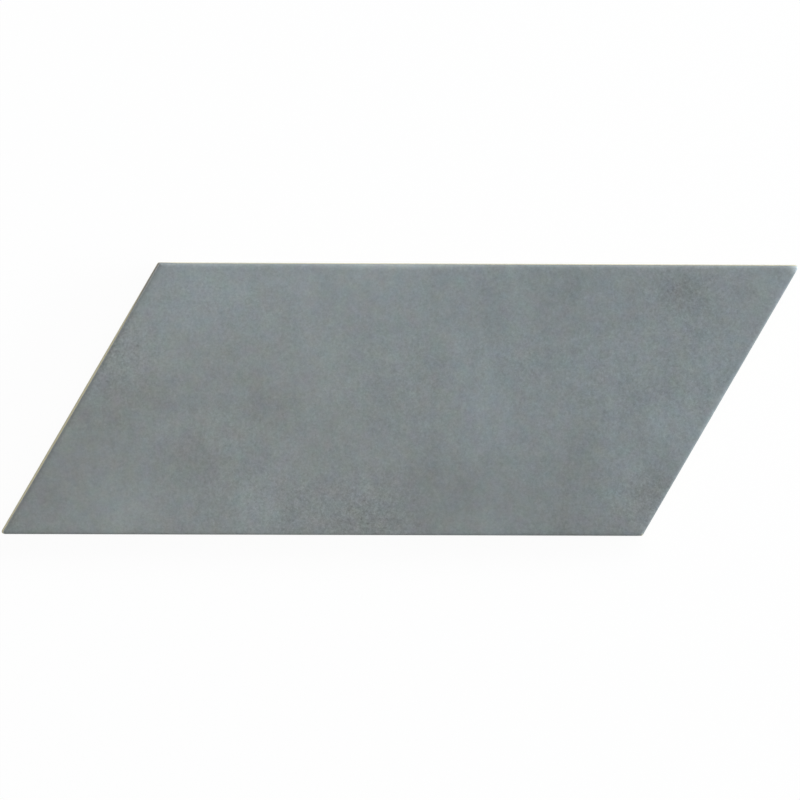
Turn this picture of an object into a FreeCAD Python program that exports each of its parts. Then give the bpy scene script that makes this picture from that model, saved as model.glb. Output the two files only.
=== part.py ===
import FreeCAD, Part

import math
import os

# Chevron wall tile: one parallelogram pressed from clay powder, glazed on its face and fired.
# It lies on its back with the glazed face up. X runs along the long edges, Z is up, and the
# origin is at the middle of the back.

# Driving dimensions, in millimetres and degrees
long_side = 205.0         # along a long edge, between the sharp corners of the outline
width = 86.6              # across, between the two long edges
thickness = 8.5           # from the back to the glazed face
mitre_angle = 60.0        # between a long edge and a mitred end

arris_radius = 0.5        # rounding between the glazed face and the side
face_corner_radius = 0.1  # of the flat part of the glazed face, inside the rounding
side_lean = 1.5           # of the upper side, inwards from upright
band_height = 4.5         # top of the upright lower side, from the back
bevel_width = 0.5         # of the bevel round the back, across
bevel_height = 0.8        # of the bevel round the back, upwards

key_rim = 7.0             # plain rim round the keyed field of the back, from the outline
key_rib = 2.5             # between two pockets, across the rib
key_pocket = 14.0         # aimed-at size of a pocket, across its parallel sides
key_depth = 0.6           # of a pocket
key_draft = 0.4           # of a pocket's wall, from mouth to floor, across
key_corner_radius = 1.5   # of a pocket's mouth, in plan

# Sizes that follow from the driving dimensions
mitre_sine = math.sin(math.radians(mitre_angle))
mitre_tangent = math.tan(math.radians(mitre_angle))
lean = math.radians(side_lean)
arris_foot_z = thickness - arris_radius * (1.0 - math.sin(lean))
arris_foot_reach = face_corner_radius + arris_radius * math.cos(lean)
corner_radius = arris_foot_reach + (arris_foot_z - band_height) * math.tan(lean)

upwards = FreeCAD.Vector(0, 0, 1)


def shrunk(side, across, inset):
    """Side and width of a parallelogram after all its edges have moved in by inset."""
    return side - 2.0 * inset / mitre_sine, across - 2.0 * inset


def corners(side, across):
    """Corners of a parallelogram about the origin, anticlockwise from the lower left."""
    half = side / 2.0
    rise = across / 2.0
    shift = rise / mitre_tangent
    return [
        FreeCAD.Vector(-half - shift, -rise, 0),
        FreeCAD.Vector(half - shift, -rise, 0),
        FreeCAD.Vector(half + shift, rise, 0),
        FreeCAD.Vector(-half + shift, rise, 0),
    ]


def edged_slab(side, across, radius, section):
    """Parallelogram slab with rounded corners, whose edge has the given section all round.

    The section is a closed wire in the XZ plane. It starts on the Z axis, which stands at the
    centre of a corner, and reaches out by radius. It runs straight along the four sides and
    turns about the four corners, round a plain core.
    """
    core = corners(*shrunk(side, across, radius))
    core_face = Part.Face(Part.makePolygon(core + core[:1]))
    pieces = [core_face.extrude(upwards * section.BoundBox.ZMax)]
    for index, corner in enumerate(core):
        run_in = corner - core[index - 1]
        run = core[(index + 1) % len(core)] - corner
        turn = math.degrees(run_in.getAngle(run))
        outwards = math.degrees(math.atan2(run.y, run.x)) - 90.0

        end = Part.Face(section)
        end.rotate(FreeCAD.Vector(), upwards, outwards)
        end.translate(corner)
        pieces.append(end.extrude(run))

        end.rotate(corner, upwards, -turn)
        pieces.append(end.revolve(corner, upwards, turn))
    return pieces[0].multiFuse(pieces[1:]).removeSplitter()


def tile_section():
    """Side of the tile: bevelled back edge, upright band, leaning upper side, rounded arris."""
    foot = FreeCAD.Vector(0, 0, 0)
    back_edge = FreeCAD.Vector(corner_radius - bevel_width, 0, 0)
    band_foot = FreeCAD.Vector(corner_radius, 0, bevel_height)
    band_top = FreeCAD.Vector(corner_radius, 0, band_height)
    arris_foot = FreeCAD.Vector(arris_foot_reach, 0, arris_foot_z)
    arris_top = FreeCAD.Vector(face_corner_radius, 0, thickness)
    top = FreeCAD.Vector(0, 0, thickness)

    arris_centre = FreeCAD.Vector(face_corner_radius, 0, thickness - arris_radius)
    half_way = (lean + math.pi / 2.0) / 2.0
    arris_middle = arris_centre + FreeCAD.Vector(math.cos(half_way), 0, math.sin(half_way)) * arris_radius

    side = Part.makePolygon([top, foot, back_edge, band_foot, band_top, arris_foot])
    arris = Part.Arc(arris_foot, arris_middle, arris_top).toShape()
    face = Part.makeLine(arris_top, top)
    return Part.Wire(side.Edges + [arris, face])


def pocket_section():
    """Side of a pocket in the back: its wall leans in from the mouth to the floor."""
    mouth_centre = FreeCAD.Vector(0, 0, 0)
    mouth = FreeCAD.Vector(key_corner_radius, 0, 0)
    floor = FreeCAD.Vector(key_corner_radius - key_draft, 0, key_depth)
    floor_centre = FreeCAD.Vector(0, 0, key_depth)
    return Part.makePolygon([floor_centre, mouth_centre, mouth, floor, floor_centre])


def fitted(length, pocket, rib):
    """How many pockets fill a length, with a rib between each two, and the size of each."""
    count = max(1, round((length + rib) / (pocket + rib)))
    return count, (length - (count - 1) * rib) / count


def key_pockets():
    """Rows of pockets over the back, inside the rim, in line with the edges of the tile."""
    field_side, field_across = shrunk(long_side, width, key_rim)
    rib_along = key_rib / mitre_sine
    columns, pocket_side = fitted(field_side, key_pocket / mitre_sine, rib_along)
    rows, pocket_across = fitted(field_across, key_pocket, key_rib)
    pocket = edged_slab(pocket_side, pocket_across, key_corner_radius, pocket_section())

    pockets = []
    for row in range(rows):
        y = (row - (rows - 1) / 2.0) * (pocket_across + key_rib)
        for column in range(columns):
            x = (column - (columns - 1) / 2.0) * (pocket_side + rib_along) + y / mitre_tangent
            pockets.append(pocket.translated(FreeCAD.Vector(x, y, 0)))
    return pockets


def chevron_tile():
    """The whole tile: the edged slab, with the pockets pressed into its back."""
    slab = edged_slab(long_side, width, corner_radius, tile_section())
    return slab.cut(Part.makeCompound(key_pockets()))


os.makedirs("parts", exist_ok=True)
tile = chevron_tile()
tile.exportStep("parts/chevron_tile.step")
print("chevron_tile:", tile.ShapeType, "solids", len(tile.Solids), "valid", tile.isValid())
print("faces", len(tile.Faces), "volume in cm3", round(tile.Volume / 1000.0, 2), tile.BoundBox)
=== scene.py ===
import math

import bpy
import numpy as np
from mathutils import Matrix, Vector, noise


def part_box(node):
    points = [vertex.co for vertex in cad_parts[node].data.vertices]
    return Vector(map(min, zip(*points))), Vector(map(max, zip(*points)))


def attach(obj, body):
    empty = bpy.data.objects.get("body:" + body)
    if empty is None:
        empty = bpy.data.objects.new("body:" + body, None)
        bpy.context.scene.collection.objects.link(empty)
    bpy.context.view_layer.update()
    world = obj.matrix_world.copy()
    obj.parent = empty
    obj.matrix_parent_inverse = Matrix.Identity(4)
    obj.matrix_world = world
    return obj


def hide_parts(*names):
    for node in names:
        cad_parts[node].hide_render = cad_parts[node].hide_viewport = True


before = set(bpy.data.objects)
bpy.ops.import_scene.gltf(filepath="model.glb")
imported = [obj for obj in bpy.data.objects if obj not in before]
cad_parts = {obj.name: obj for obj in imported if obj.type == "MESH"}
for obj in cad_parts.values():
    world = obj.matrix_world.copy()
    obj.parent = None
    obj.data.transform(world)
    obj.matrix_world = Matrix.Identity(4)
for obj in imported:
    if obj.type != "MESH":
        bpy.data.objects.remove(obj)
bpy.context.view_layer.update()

# Chevron tile
# One slab pressed from clay powder in a steel die and fired with a satin glaze on its face, which
# is washed to look like weathered cement. The glaze rolls over the arris and stops raggedly on
# the sides, which show the cream biscuit. The back keeps the ribs and pockets that key it.

mm = 0.001
tile_low, tile_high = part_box("chevron_tile")
tile_width = tile_high.y - tile_low.y
tile_thickness = tile_high.z - tile_low.z
mitre_angle = math.radians(60)
mitre_sine = math.sin(mitre_angle)
mitre_tangent = math.tan(mitre_angle)

arris_radius = 0.5 * mm
face_corner_radius = 0.1 * mm
side_lean = math.radians(1.5)
band_height = 4.5 * mm
bevel_width = 0.5 * mm
bevel_height = 0.8 * mm
arris_foot_z = tile_thickness - arris_radius * (1 - math.sin(side_lean))
arris_foot_reach = face_corner_radius + arris_radius * math.cos(side_lean)
corner_radius = arris_foot_reach + (arris_foot_z - band_height) * math.tan(side_lean)

# The core joins the centres of the four rounded corners.
core_width = tile_width - 2 * corner_radius
core_shift = core_width / mitre_tangent
core_length = tile_high.x - tile_low.x - 2 * corner_radius - core_shift

key_rim = 7.0 * mm
key_rib = 2.5 * mm
key_depth = 0.6 * mm
key_draft = 0.4 * mm
key_corner_radius = 1.5 * mm
key_rows = 5
key_columns = 10


def key_lines(length, pockets, rim, rib, draft):
    """Mesh lines across a run of pockets, as shares of its length, and the size of a pocket.

    The lines lie close together at each pocket's walls and at the two ends of the run.
    """
    rim_steps = 11
    rib_steps = 3
    wall_steps = 4
    floor_steps = 12
    pocket = (length - 2 * rim - (pockets - 1) * rib) / pockets
    wall = wall_steps * draft
    rim_lines = [rim * (index / rim_steps) ** 2 for index in range(rim_steps)]
    lines = list(rim_lines)
    for index in range(pockets):
        start = rim + index * (pocket + rib)
        end = start + pocket
        lines += list(np.linspace(start, start + wall, wall_steps, endpoint=False))
        lines += list(np.linspace(start + wall, end - wall, floor_steps, endpoint=False))
        lines += list(np.linspace(end - wall, end, wall_steps, endpoint=False))
        if index < pockets - 1:
            lines += list(np.linspace(end, end + rib, rib_steps, endpoint=False))
    lines += [length - rim]
    lines += [length - line for line in reversed(rim_lines)]
    return [line / length for line in lines], pocket


rim_inside = key_rim - corner_radius
length_shares, pocket_length = key_lines(
    core_length, key_columns, rim_inside / mitre_sine, key_rib / mitre_sine, key_draft / mitre_sine)
width_shares, pocket_width = key_lines(core_width, key_rows, rim_inside, key_rib, key_draft)
columns = len(length_shares)
rows = len(width_shares)

row_pitch = pocket_width + key_rib
column_pitch = pocket_length + key_rib / mitre_sine
pocket_core_half_width = pocket_width / 2 - key_corner_radius
pocket_core_half_length = pocket_length / 2 - key_corner_radius / mitre_sine
pocket_core_shift = pocket_core_half_width / mitre_tangent
pocket_core = [
    Vector((-pocket_core_half_length - pocket_core_shift, -pocket_core_half_width)),
    Vector((pocket_core_half_length - pocket_core_shift, -pocket_core_half_width)),
    Vector((pocket_core_half_length + pocket_core_shift, pocket_core_half_width)),
    Vector((-pocket_core_half_length + pocket_core_shift, pocket_core_half_width)),
]


def nearest_place(position, count):
    """Middle of the nearest of a centred row of like things that are one apart."""
    half = (count - 1) / 2
    return min(max(round(position + half), 0), count - 1) - half


def distance_outside(place, outline):
    """Distance from a place to an outline that runs anticlockwise, and nothing inside it."""
    nearest = math.inf
    inside = True
    for index, corner in enumerate(outline):
        run = outline[(index + 1) % len(outline)] - corner
        reach = place - corner
        share = min(max(reach.dot(run) / run.length_squared, 0), 1)
        nearest = min(nearest, (reach - run * share).length)
        inside = inside and run.cross(reach) >= 0
    return 0.0 if inside else nearest


def back_height(place):
    """How far the back is pressed in: nothing on the rim and ribs, the full depth in a pocket."""
    along = place.x - place.y / mitre_tangent
    middle_along = nearest_place(along / column_pitch, key_columns) * column_pitch
    middle_y = nearest_place(place.y / row_pitch, key_rows) * row_pitch
    middle = Vector((middle_along + middle_y / mitre_tangent, middle_y))
    inset = key_corner_radius - distance_outside(place - middle, pocket_core)
    return key_depth * min(max(inset / key_draft, 0), 1)


# Width and depth of the waves in the fired glaze: the slow swell, the ripple and the orange peel.
glaze_waves = [(38 * mm, 0.035 * mm), (9 * mm, 0.012 * mm), (2.4 * mm, 0.005 * mm)]
mean_dip = 0.055 * mm

# The glaze rolls off at the arris, here more and there less.
roll_depth = 0.14 * mm
roll_reach = 0.5 * mm
roll_change = 0.4
roll_change_widths = [8 * mm, 2.2 * mm]


def wave(place, width):
    """Soft wave from -1 to 1 over the tile in plan, with features of a width."""
    return noise.noise(Vector((place.x, place.y, 0)) / width)


def face_dip(place, edge_distance):
    """How far the glazed face lies below the highest level the tile reaches."""
    dip = mean_dip + sum(depth * wave(place, width) for width, depth in glaze_waves)
    roll = roll_depth * (1 + roll_change * sum(wave(place, width) for width in roll_change_widths))
    if edge_distance > 0:
        roll *= math.exp(-edge_distance / roll_reach)
    else:
        roll *= 1 - edge_distance / roll_reach
    return max(0.0, dip) + roll


# The blunt near corner and the far tip are worn: where, which way, how deep and how far round.
blunt_corner = Vector((tile_high.x - tile_width / mitre_tangent, tile_low.y))
far_tip = Vector((tile_high.x, tile_high.y))
half_mitre = mitre_angle / 2
worn_corners = [
    (blunt_corner, Vector((-math.sin(half_mitre), math.cos(half_mitre))), 0.15 * mm, 1.0 * mm),
    (far_tip, Vector((-math.cos(half_mitre), -math.sin(half_mitre))), 0.35 * mm, 2.5 * mm),
]


def worn_away(place):
    """How far, and which way, the edge is worn in at a place."""
    wear = Vector((0, 0))
    for corner, inwards, depth, reach in worn_corners:
        wear += inwards * depth * max(0.0, 1 - (place - corner).length / reach)
    return wear


def edge_section():
    """Reach and height of each line round the edge, from the face down to the back."""
    section = []
    arris_steps = 7
    arris_start = math.radians(82)
    for index in range(arris_steps):
        turn = arris_start + (side_lean - arris_start) * index / (arris_steps - 1)
        section.append((
            face_corner_radius + arris_radius * math.cos(turn),
            tile_thickness - arris_radius * (1 - math.sin(turn))))
    side_steps = 5
    for index in range(1, side_steps + 1):
        share = index / side_steps
        section.append((
            arris_foot_reach + (corner_radius - arris_foot_reach) * share,
            arris_foot_z + (band_height - arris_foot_z) * share))
    band_steps = 4
    for index in range(1, band_steps + 1):
        section.append((corner_radius, band_height + (bevel_height - band_height) * index / band_steps))
    section.append((corner_radius - bevel_width, 0.0))
    return section


def edge_stations():
    """Grid position on the core's edge and outward direction of each line down the edge."""
    corner_steps = 8
    side_runs = [
        [(column, 0) for column in range(columns)],
        [(columns - 1, row) for row in range(rows)],
        [(column, rows - 1) for column in reversed(range(columns))],
        [(0, row) for row in reversed(range(rows))],
    ]
    outward_angles = [-math.pi / 2, mitre_angle - math.pi / 2, math.pi / 2, mitre_angle + math.pi / 2]
    stations = []
    for index, run in enumerate(side_runs):
        angle = outward_angles[index]
        turn = (outward_angles[(index + 1) % 4] - angle) % (2 * math.pi)
        stations += [(place, angle) for place in run]
        for corner_step in range(1, corner_steps):
            stations.append((run[-1], angle + turn * corner_step / corner_steps))
    return stations


def tile_mesh():
    """The whole tile as one closed mesh: face grid, edge lines, back grid."""
    vertices = []
    faces = []

    def core_place(row, column):
        y = (width_shares[row] - 0.5) * core_width
        return Vector(((length_shares[column] - 0.5) * core_length + y / mitre_tangent, y))

    def core_edge_distance(row, column):
        across = min(width_shares[row], 1 - width_shares[row]) * core_width
        along = min(length_shares[column], 1 - length_shares[column]) * core_length * mitre_sine
        return min(across, along)

    def add_grid(height, downwards):
        first = len(vertices)
        for row in range(rows):
            for column in range(columns):
                place = core_place(row, column)
                vertices.append((place.x, place.y, height(place, row, column)))
        for row in range(rows - 1):
            for column in range(columns - 1):
                corner = first + row * columns + column
                quad = [corner, corner + 1, corner + 1 + columns, corner + columns]
                faces.append(quad[::-1] if downwards else quad)
        return first

    def face_height(place, row, column):
        return tile_thickness - face_dip(place, core_edge_distance(row, column))

    face_first = add_grid(face_height, False)
    back_first = add_grid(lambda place, row, column: back_height(place), True)

    # The roll-off of the face carries on over the arris and fades out down the side.
    section = edge_section()
    stations = edge_stations()
    line_first = len(vertices)
    fade_height = 2 * mm
    for (column, row), angle in stations:
        outward = Vector((math.cos(angle), math.sin(angle)))
        for reach, z in section:
            share = max(0.0, 1 - (tile_thickness - z) / fade_height)
            place = core_place(row, column) + outward * reach
            place += worn_away(place) * share
            vertices.append((place.x, place.y, z - face_dip(place, -reach) * share))

    count = len(section)
    for index, ((column, row), angle) in enumerate(stations):
        after = (index + 1) % len(stations)
        (next_column, next_row), next_angle = stations[after]
        here = line_first + index * count
        there = line_first + after * count
        for line in range(count - 1):
            faces.append([here + line, here + line + 1, there + line + 1, there + line])
        face_here = face_first + row * columns + column
        face_there = face_first + next_row * columns + next_column
        back_here = back_first + row * columns + column
        back_there = back_first + next_row * columns + next_column
        if face_here == face_there:
            faces.append([face_here, here, there])
            faces.append([back_here, there + count - 1, here + count - 1])
        else:
            faces.append([face_here, here, there, face_there])
            faces.append([back_here, back_there, there + count - 1, here + count - 1])
    mesh = bpy.data.meshes.new("tile")
    mesh.from_pydata(vertices, [], faces)
    mesh.validate()
    mesh.update()
    return mesh


def placed(name, data):
    """New object in the scene, made of the given mesh, lamp or camera."""
    thing = bpy.data.objects.new(name, data)
    bpy.context.collection.objects.link(thing)
    return thing


tile = placed("tile", tile_mesh())
for polygon in tile.data.polygons:
    polygon.use_smooth = True
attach(tile, "root")
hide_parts("chevron_tile")


def emptied_recipe(owner):
    """Node tree of a material or a world, with nothing in it yet."""
    owner.use_nodes = True
    owner.node_tree.nodes.clear()
    return owner.node_tree


def ingredient(kind, inputs=None, **settings):
    """Adds one node to the recipe, with its settings, its constants and its links."""
    node = recipe.nodes.new(kind)
    for name, value in settings.items():
        setattr(node, name, value)
    for socket, value in (inputs or {}).items():
        if isinstance(value, bpy.types.NodeSocket):
            recipe.links.new(value, node.inputs[socket])
        else:
            node.inputs[socket].default_value = value
    return node


def sum_of(first, *others):
    for other in others:
        first = ingredient("ShaderNodeMath", {0: first, 1: other}, operation="ADD").outputs[0]
    return first


def product_of(first, second):
    return ingredient("ShaderNodeMath", {0: first, 1: second}, operation="MULTIPLY").outputs[0]


def vector_of(operation, *vectors):
    """Result of one step of arithmetic on vectors or colours."""
    return ingredient("ShaderNodeVectorMath", dict(enumerate(vectors)), operation=operation).outputs[0]


def scaled(vector, factor):
    return ingredient("ShaderNodeVectorMath", {0: vector, "Scale": factor}, operation="SCALE").outputs[0]


def ramp(value, low, high, low_result=0.0, high_result=1.0):
    """Smooth change from one result to another as value goes from low to high."""
    return ingredient("ShaderNodeMapRange", {
        "Value": value, "From Min": low, "From Max": high, "To Min": low_result, "To Max": high_result},
        interpolation_type="SMOOTHSTEP").outputs["Result"]


def mixed(share, colour, other_colour, **settings):
    """Colour between two others, the second one where the share is one."""
    return ingredient("ShaderNodeMix", {
        "Factor": share, "A": colour, "B": other_colour}, data_type="RGBA", **settings).outputs["Result"]


def clouding(place, size, detail, roughness, seed, curl=0.0):
    """Soft noise about zero, with features of a size in millimetres, which curl drags into strokes."""
    fog = ingredient("ShaderNodeTexNoise", {
        "Vector": place, "W": seed, "Scale": 1 / size, "Detail": detail, "Roughness": roughness,
        "Distortion": curl}, noise_dimensions="4D")
    return sum_of(fog.outputs["Fac"], -0.5)


def strayed(place, size, reach):
    """The place moved about by soft noise, so that what is laid there has an uneven edge."""
    fog = ingredient("ShaderNodeTexNoise", {
        "Vector": place, "Scale": 1 / size, "Detail": 6.0, "Roughness": 0.75}).outputs["Color"]
    fog = vector_of("SUBTRACT", fog, (0.5, 0.5, 0.5))
    return vector_of("MULTIPLY_ADD", fog, (reach, reach, 0), place)


def dabs(place, listed):
    """Sums of soft dabs. Each has a middle, its reach along and across, a turn and up to 3 strengths."""
    total = (0, 0, 0)
    for x, y, along, across, turn, *strengths in listed:
        local = place
        if turn:
            local = ingredient("ShaderNodeVectorRotate", {
                "Vector": local, "Center": (x, y, 0), "Angle": math.radians(-turn)},
                rotation_type="Z_AXIS").outputs[0]
        local = vector_of("SUBTRACT", local, (x, y, 0))
        local = vector_of("DIVIDE", local, (along, across, 1))
        distance = ingredient("ShaderNodeVectorMath", {0: local}, operation="LENGTH").outputs["Value"]
        nearness = ramp(distance, 0.0, 1.0, 1.0, 0.0)
        strengths += [0] * (3 - len(strengths))
        total = vector_of("ADD", scaled(strengths, nearness), total)
    return ingredient("ShaderNodeSeparateXYZ", {0: total}).outputs


glaze_and_biscuit = bpy.data.materials.new("glaze_and_biscuit")
recipe = emptied_recipe(glaze_and_biscuit)
spot = ingredient("ShaderNodeTexCoord").outputs["Object"]
spot_mm = scaled(spot, 1 / mm)
plan_mm = vector_of("MULTIPLY", spot_mm, (1, 1, 0))
spot_parts = ingredient("ShaderNodeSeparateXYZ", {0: spot_mm}).outputs

# Clouds of the wash, in millimetres on the face: middle, reach along and across, turn in degrees,
# then how light and how warm each one is.
wash_clouds = [
    (-40, 36, 62, 26, 0, 0.6, -0.3),
    (-68, 33, 30, 22, 0, 0.8, -0.9),
    (-32, 41, 16, 12, 0, 0.6, 0.1),
    (-6, 40, 18, 10, 0, 0.8, 0.2),
    (-21, 8, 15, 24, 0, 0.6, 0.3),
    (-14, 27, 14, 14, 0, 0.0, 0.6),
    (-2, 15, 8, 10, 0, 0.5, 0.0),
    (28, -1, 15, 27, 10, 1.0, -0.7),
    (19, 18, 9, 10, 0, 0.8, 0.0),
    (72, -21, 14, 17, 0, 1.0, -0.2),
    (102, 14, 12, 26, -30, 0.7, -0.4),
    (86, -7, 14, 14, 0, 1.1, -0.4),
    (70, 13, 12, 15, 0, 0.5, -0.2),
    (70, -34, 8, 7, 0, 0.8, -0.1),
    (119, 37, 9, 7, 0, 0.8, -0.1),
    (72, 36, 60, 24, 0, -0.45, 0.1),
    (-88, -36, 20, 16, 0, 0.9, -0.1),
    (-46, -35, 15, 17, 0, 1.3, -0.7),
    (-34, -18, 9, 16, -20, 0.5, 0.1),
    (-62, -8, 13, 10, 0, 0.4, 0.1),
    (-100, -10, 17, 40, -30, -1.1, 0.4),
    (-116, -32, 16, 22, -30, -0.9, 0.4),
    (-79, 1, 13, 9, 0, -1.4, 0.6),
    (-43, -3, 14, 14, 0, -0.8, 0.4),
    (-60, 0, 9, 7, 0, -0.6, 0.2),
    (-50, 7, 8, 6, 0, -0.8, 0.4),
    (-67, -21, 16, 11, 0, -0.7, 0.3),
    (-14, -9, 12, 12, 0, -0.3, 0.1),
    (6, 8, 10, 20, 0, -0.4, 0.3),
    (10, -30, 19, 22, 0, -1.2, 0.1),
    (-10, -38, 20, 10, 0, -0.6, 0.5),
    (45, -29, 34, 18, 0, -0.7, 0.1),
    (56, -40, 22, 9, 0, -0.9, 0.4),
    (59, -16, 10, 14, 0, -0.8, 0.4),
    (31, -20, 9, 7, 0, -0.8, 0.1),
    (80, -27, 10, 10, 0, -1.2, 0.7),
    (76, -37, 12, 10, 0, -0.3, 0.9),
    (91, 37, 13, 13, 0, -1.3, 0.7),
    (52, 33, 11, 24, 0, -0.9, 0.2),
    (27, 33, 10, 15, 0, -0.8, 0.1),
]
cloud_place = strayed(plan_mm, size=20, reach=13)
cloud_light, cloud_warm = dabs(cloud_place, wash_clouds)[:2]

# Where the sponge left more or less of its grain in the wash.
sponge_dabs = [
    (-8, -38, 20, 22, 0, 1.1),
    (-32, -36, 24, 22, 0, 0.7),
    (-50, -30, 22, 18, 0, 0.4),
    (92, 34, 28, 24, 0, 0.5),
    (74, 6, 46, 36, 0, 0.4),
    (98, 4, 18, 40, -30, 0.25),
    (77, -32, 18, 18, 0, 0.9),
    (-92, 14, 22, 18, 0, 0.9),
    (-58, 32, 28, 18, 0, 0.3),
    (0, 8, 32, 24, 0, 0.3),
    (35, 14, 18, 14, 0, 0.3),
    (-55, -12, 26, 22, 0, 0.25),
    (-104, -26, 34, 30, 0, -0.6),
    (-18, 38, 28, 18, 0, -0.25),
    (24, -36, 30, 20, 0, -0.6),
]
sponge_place = strayed(plan_mm, size=12, reach=14)
sponged = dabs(sponge_place, sponge_dabs)[0]

# Single marks in the wash: dark spots, strokes of the sponge and pale smears, then painted
# highlights on the far tip and along stretches of the far, right and near edges.
wash_marks_and_painted_highlights = [
    (26.5, 24.8, 2.2, 3.4, 0, -0.7),
    (38.5, 10.2, 2.2, 2.2, 0, -1.2),
    (24.2, 15.9, 1.4, 1.4, 0, -1.2),
    (55.5, 16.0, 3.0, 3.6, 0, -0.9),
    (-66.8, -3.2, 2.2, 2.4, 0, -1.1),
    (-84.7, 16.9, 1.2, 1.2, 0, -1.2),
    (112.5, 34.7, 2.0, 1.4, 0, -1.0),
    (74.0, -0.8, 1.8, 1.8, 0, -1.0),
    (61.0, -0.6, 6.5, 1.5, 0, -0.8),
    (83.0, -1.6, 5.0, 1.8, 0, -0.6),
    (-52.0, -19.7, 8.0, 1.5, 0, -0.8),
    (-16.0, -39.0, 12.0, 2.2, 0, -1.0),
    (-41.0, 3.6, 2.6, 1.4, 20, -0.9),
    (-36.4, 1.2, 1.4, 2.4, 0, -0.9),
    (-38.5, -2.6, 2.4, 1.4, 20, -0.8),
    (-76.5, -10.7, 7.5, 2.4, 44, 0.9),
    (-3.5, 13.7, 3.0, 3.0, 0, 0.8),
    (-3.4, -8.0, 1.6, 26.0, 0, 0.5),
    # From here on, painted highlights: one on the far tip, then pale lines along the far, right and near
    # edges.
    (126.5, 43.0, 3.6, 2.6, 40, 11.0),
    (-6.0, 42.8, 36.0, 1.9, 0, 2.2),
    (101.5, -0.6, 40.0, 1.5, 60, 1.2),
    (-25.0, -43.0, 130.0, 1.3, 0, 0.9),
]
mark_place = strayed(plan_mm, size=2.5, reach=2.5)
marks_and_painted_highlights = dabs(mark_place, wash_marks_and_painted_highlights)[0]

# Layers of the wash, all over the face. The streaks run across the tile.
streak_squeeze = 0.22
streak_place = vector_of("MULTIPLY", plan_mm, (1, streak_squeeze, 1))
streaks = clouding(streak_place, size=8, detail=3.0, roughness=0.6, seed=1.0)
drift = clouding(plan_mm, size=26, detail=3.0, roughness=0.7, seed=2.0)
mottle = clouding(plan_mm, size=6, detail=4.0, roughness=0.85, seed=3.0)
grain = clouding(spot_mm, size=0.8, detail=1.0, roughness=0.8, seed=4.0, curl=0.6)
sponge = clouding(spot_mm, size=1.8, detail=2.0, roughness=0.8, seed=5.0, curl=1.0)
fleck = ramp(clouding(plan_mm, size=1.5, detail=2.0, roughness=0.6, seed=12.0), 0.04, 0.16)

# How much each layer lightens or darkens the glaze, as a share of its colour. The fine ones are
# deeper where the sponge was. Where the glaze has run down the side it lies thin, and there it
# is darkened as painted shade.
mean_tone = 1.008
# Painted light: the glaze is made lighter towards the left and towards the far edge, as the light falls
# across the face.
painted_light_per_mm_along = -0.00047
painted_light_per_mm_across = 0.00078
cloud_depth = 0.088
mark_depth = 0.085
streak_depth = 0.22
drift_depth = 0.06
mottle_depth = 0.31
# Painted shade: the glaze down the side is made darker.
painted_side_shade_depth = -0.1
grain_depth = ramp(sponged, -0.6, 1.3, 0.36, 1.0)
sponge_depth = ramp(sponged, 0.2, 1.4, 0.18, 0.72)
fleck_depth = ramp(sponged, 0.0, 1.2, -0.02, -0.12)
thin_glaze_and_shade_top = 8.0
thin_glaze_and_shade_bottom = 5.5
thin_glaze_and_painted_shade = ramp(spot_parts["Z"], thin_glaze_and_shade_bottom, thin_glaze_and_shade_top, 1.0, 0.0)
tone = sum_of(
    mean_tone,
    product_of(spot_parts["X"], painted_light_per_mm_along),
    product_of(spot_parts["Y"], painted_light_per_mm_across),
    product_of(cloud_light, cloud_depth),
    product_of(marks_and_painted_highlights, mark_depth),
    product_of(streaks, streak_depth),
    product_of(drift, drift_depth),
    product_of(mottle, mottle_depth),
    product_of(grain, grain_depth),
    product_of(sponge, sponge_depth),
    product_of(fleck, fleck_depth),
    product_of(thin_glaze_and_painted_shade, painted_side_shade_depth))

# The glaze is warm towards the near left corner, cool towards the far right one, and warm where it
# is thin.
near_left_warmth = 0.805
far_right_warmth = 0.435
cloud_warmth = 0.27
patch_warmth = 1.3
thin_warmth = 1.75
warm_along = 0.6
warm_across = 0.8
warm_half_span = 50.0
warm_axis = sum_of(product_of(spot_parts["X"], warm_along), product_of(spot_parts["Y"], warm_across))
warmth = sum_of(
    ramp(warm_axis, -warm_half_span, warm_half_span, near_left_warmth, far_right_warmth),
    product_of(cloud_warm, cloud_warmth),
    product_of(clouding(plan_mm, size=9, detail=4.0, roughness=0.8, seed=6.0), patch_warmth),
    product_of(thin_glaze_and_painted_shade, thin_warmth))

cool_grey = (0.2035, 0.2400, 0.2560, 1)
warm_grey = (0.2240, 0.2405, 0.2360, 1)
glaze_colour = mixed(warmth, cool_grey, warm_grey, clamp_factor=False)

# Small patches of the glaze lean a little to red, green or blue.
tint_size = 4.5
tint_depth = 0.13
least_tint = 1 - tint_depth / 2
tint = ingredient("ShaderNodeTexNoise", {
    "Vector": plan_mm, "Scale": 1 / tint_size, "Detail": 1.0, "Roughness": 0.6}).outputs["Color"]
tint = vector_of("MULTIPLY_ADD", tint, [tint_depth] * 3, [least_tint] * 3)
glaze_colour = vector_of("MULTIPLY", glaze_colour, tint)
glaze_colour = scaled(glaze_colour, tone)

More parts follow.
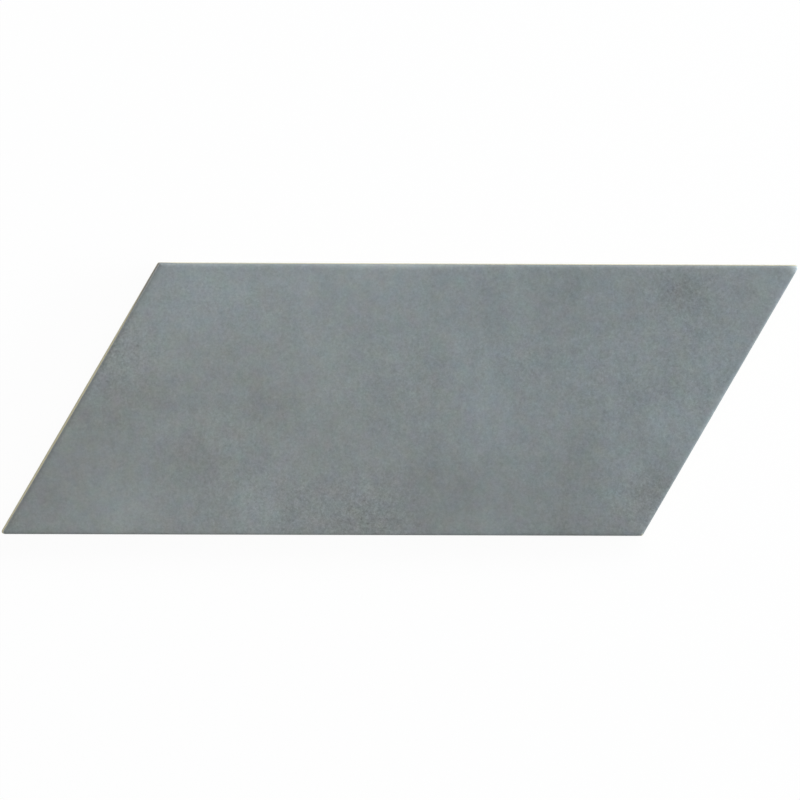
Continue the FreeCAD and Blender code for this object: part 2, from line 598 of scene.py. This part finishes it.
# Bare biscuit: cream clay with fine dark grains. It is darker in the pockets and at the foot of the
# side, partly painted shade and partly dust and less rubbing.
pocket_floor = key_depth / mm
foot_top = 4.0
rib_shade = 1.06
pocket_shade = 0.92
upper_side_shade = 0.2
grit_depth = 0.5
patch_depth = 1.2
back_shade = ramp(spot_parts["Z"], 0.0, pocket_floor, rib_shade, pocket_shade)
side_shade = ramp(spot_parts["Z"], pocket_floor, foot_top, 0.0, upper_side_shade)
grit_and_painted_shade = sum_of(
    product_of(clouding(spot_mm, size=0.7, detail=3.0, roughness=0.8, seed=7.0), grit_depth),
    back_shade,
    side_shade)
patches = sum_of(
    product_of(clouding(spot_mm, size=6, detail=2.0, roughness=0.6, seed=8.0), patch_depth), 0.5)
pale_clay = (0.63, 0.60, 0.415, 1)
tan_clay = (0.51, 0.47, 0.305, 1)
biscuit_colour = mixed(patches, pale_clay, tan_clay)
biscuit_colour = scaled(biscuit_colour, grit_and_painted_shade)

# The glaze stops at about this height on the side, in millimetres, more or less ragged. It has run
# further down near the far left corner and the near left tip, and is chipped off the blunt near
# corner.
glaze_stop = 7.5
glaze_edge = 0.08
slow_rag = 0.9
fine_rag = 0.4
glaze_runs = [
    (-79.5, 39.8, 18, 6, 60, 5.2),
    (-86, 26, 26, 26, 0, 1.6),
    (-124, -40, 16, 16, 0, 1.5),
    (77.5, -43.3, 0.8, 0.8, 0, -0.8),
]
run_place = strayed(plan_mm, size=7, reach=7)
glaze_run = dabs(run_place, glaze_runs)[0]
rag = sum_of(
    product_of(clouding(plan_mm, size=5, detail=2.0, roughness=0.6, seed=9.0), slow_rag),
    product_of(clouding(spot_mm, size=0.8, detail=2.0, roughness=0.6, seed=10.0), fine_rag))
glaze_reach = sum_of(spot_parts["Z"], rag, glaze_run)
glazed = ramp(glaze_reach, glaze_stop - glaze_edge, glaze_stop + glaze_edge)

surface_colour = mixed(glazed, biscuit_colour, glaze_colour)

# The biscuit is dull. The glaze is satin, duller in the pale mottles and where it is thin.
biscuit_roughness = 0.9
satin_roughness = 0.46
mottle_roughness = 0.25
thin_roughness = 0.45
glaze_roughness = sum_of(
    product_of(mottle, mottle_roughness),
    product_of(thin_glaze_and_painted_shade, thin_roughness),
    satin_roughness)
surface_roughness = ingredient("ShaderNodeMix", {
    "Factor": glazed, "A": biscuit_roughness, "B": glaze_roughness}).outputs["Result"]

relief_depth = 0.02 * mm
grit_relief = 0.5
pimples = clouding(spot_mm, size=1.4, detail=2.0, roughness=0.6, seed=11.0)
relief = sum_of(pimples, product_of(grit_and_painted_shade, grit_relief))
relief = ingredient("ShaderNodeBump", {"Height": relief, "Distance": relief_depth, "Strength": 0.6})
shader = ingredient("ShaderNodeBsdfPrincipled", {
    "Base Color": surface_colour, "Roughness": surface_roughness, "Normal": relief.outputs["Normal"]})
ingredient("ShaderNodeOutputMaterial", {"Surface": shader.outputs["BSDF"]})
tile.data.materials.append(glaze_and_biscuit)

# Floor
# A plain white sheet, far larger than the tile, which lies on it. It is seen as white, with part
# of the tile's shadow.

floor_half = 6.0
floor_level = -0.02 * mm
floor_corners = [(-1, -1), (1, -1), (1, 1), (-1, 1)]
floor_mesh = bpy.data.meshes.new("floor")
floor_mesh.from_pydata(
    [(x * floor_half, y * floor_half, floor_level) for x, y in floor_corners], [], [(0, 1, 2, 3)])
floor = placed("floor", floor_mesh)

white_sheet = bpy.data.materials.new("white_sheet")
recipe = emptied_recipe(white_sheet)
rays = ingredient("ShaderNodeLightPath").outputs
seen = sum_of(rays["Is Camera Ray"], rays["Is Glossy Ray"], rays["Is Transmission Ray"])
seen_whiteness = 0.95
whiteness = ramp(seen, 0.0, 1.0, 0.0, seen_whiteness)
paper = ingredient("ShaderNodeBsdfDiffuse", {"Color": (0.9, 0.9, 0.9, 1)})
glow = ingredient("ShaderNodeEmission", {"Color": (1, 1, 1, 1), "Strength": 1.0})
sheet_mix = ingredient("ShaderNodeMixShader", {0: whiteness, 1: paper.outputs[0], 2: glow.outputs[0]})
ingredient("ShaderNodeOutputMaterial", {"Surface": sheet_mix.outputs[0]})
floor.data.materials.append(white_sheet)

# Studio light
# A white tent lights everything evenly. A softbox beyond the far right corner and a low strip
# light on the right pick out the rounded edges that face them and leave the others darker.

tent_level = 0.45
world = bpy.data.worlds.new("tent")
recipe = emptied_recipe(world)
rays = ingredient("ShaderNodeLightPath").outputs
seen = sum_of(rays["Is Camera Ray"], rays["Is Transmission Ray"])
tent = ingredient("ShaderNodeBackground", {
    "Color": (1, 1, 1, 1), "Strength": ramp(seen, 0.0, 1.0, tent_level, 1.0)})
ingredient("ShaderNodeOutputWorld", {"Surface": tent.outputs[0]})
bpy.context.scene.world = world


def add_lamp(name, place, length, height, watts, colour):
    """Flat lamp that faces the middle of the tile."""
    lamp_data = bpy.data.lights.new(name, "AREA")
    lamp_data.shape = "RECTANGLE"
    lamp_data.size = length
    lamp_data.size_y = height
    lamp_data.energy = watts
    lamp_data.color = colour
    lamp = placed(name, lamp_data)
    lamp.location = place
    lamp.rotation_euler = (-lamp.location).to_track_quat("-Z", "Y").to_euler()


add_lamp(
    "softbox", place=(0.75, 1.6, 1.35), length=1.6, height=1.0, watts=26.5, colour=(1, 1, 1))
add_lamp(
    "strip_light", place=(2.4, 0.35, 0.56), length=1.4, height=0.3, watts=64.0, colour=(0.86, 0.95, 1.0))

# Camera
# It looks almost straight down from far above, a little from the left, so that the left edge of
# the tile shows its biscuit.

camera_distance = 8.0
frame_width = 255.0 * mm
side_angle = math.radians(5.5)
up_angle = math.radians(1.5)
camera_roll = 0.006
aim = Vector((-0.12 * mm, -0.2 * mm, tile_thickness / 2))
towards = Vector((-math.sin(side_angle), math.sin(up_angle), 0))
towards.z = math.sqrt(1 - towards.length_squared)
level_right = (-towards).cross(Vector((0, 1, 0))).normalized()
level_up = towards.cross(level_right)
view_right = level_right * math.cos(camera_roll) + level_up * math.sin(camera_roll)
view_up = towards.cross(view_right)

camera_data = bpy.data.cameras.new("camera")
camera_data.sensor_width = 36
camera_data.lens = camera_data.sensor_width * camera_distance / frame_width
camera_data.clip_end = 30
camera = placed("camera", camera_data)
camera.matrix_world = Matrix((view_right, view_up, towards)).transposed().to_4x4()
camera.location = aim + towards * camera_distance
bpy.context.scene.camera = camera
bpy.context.scene.view_settings.view_transform = "Standard"
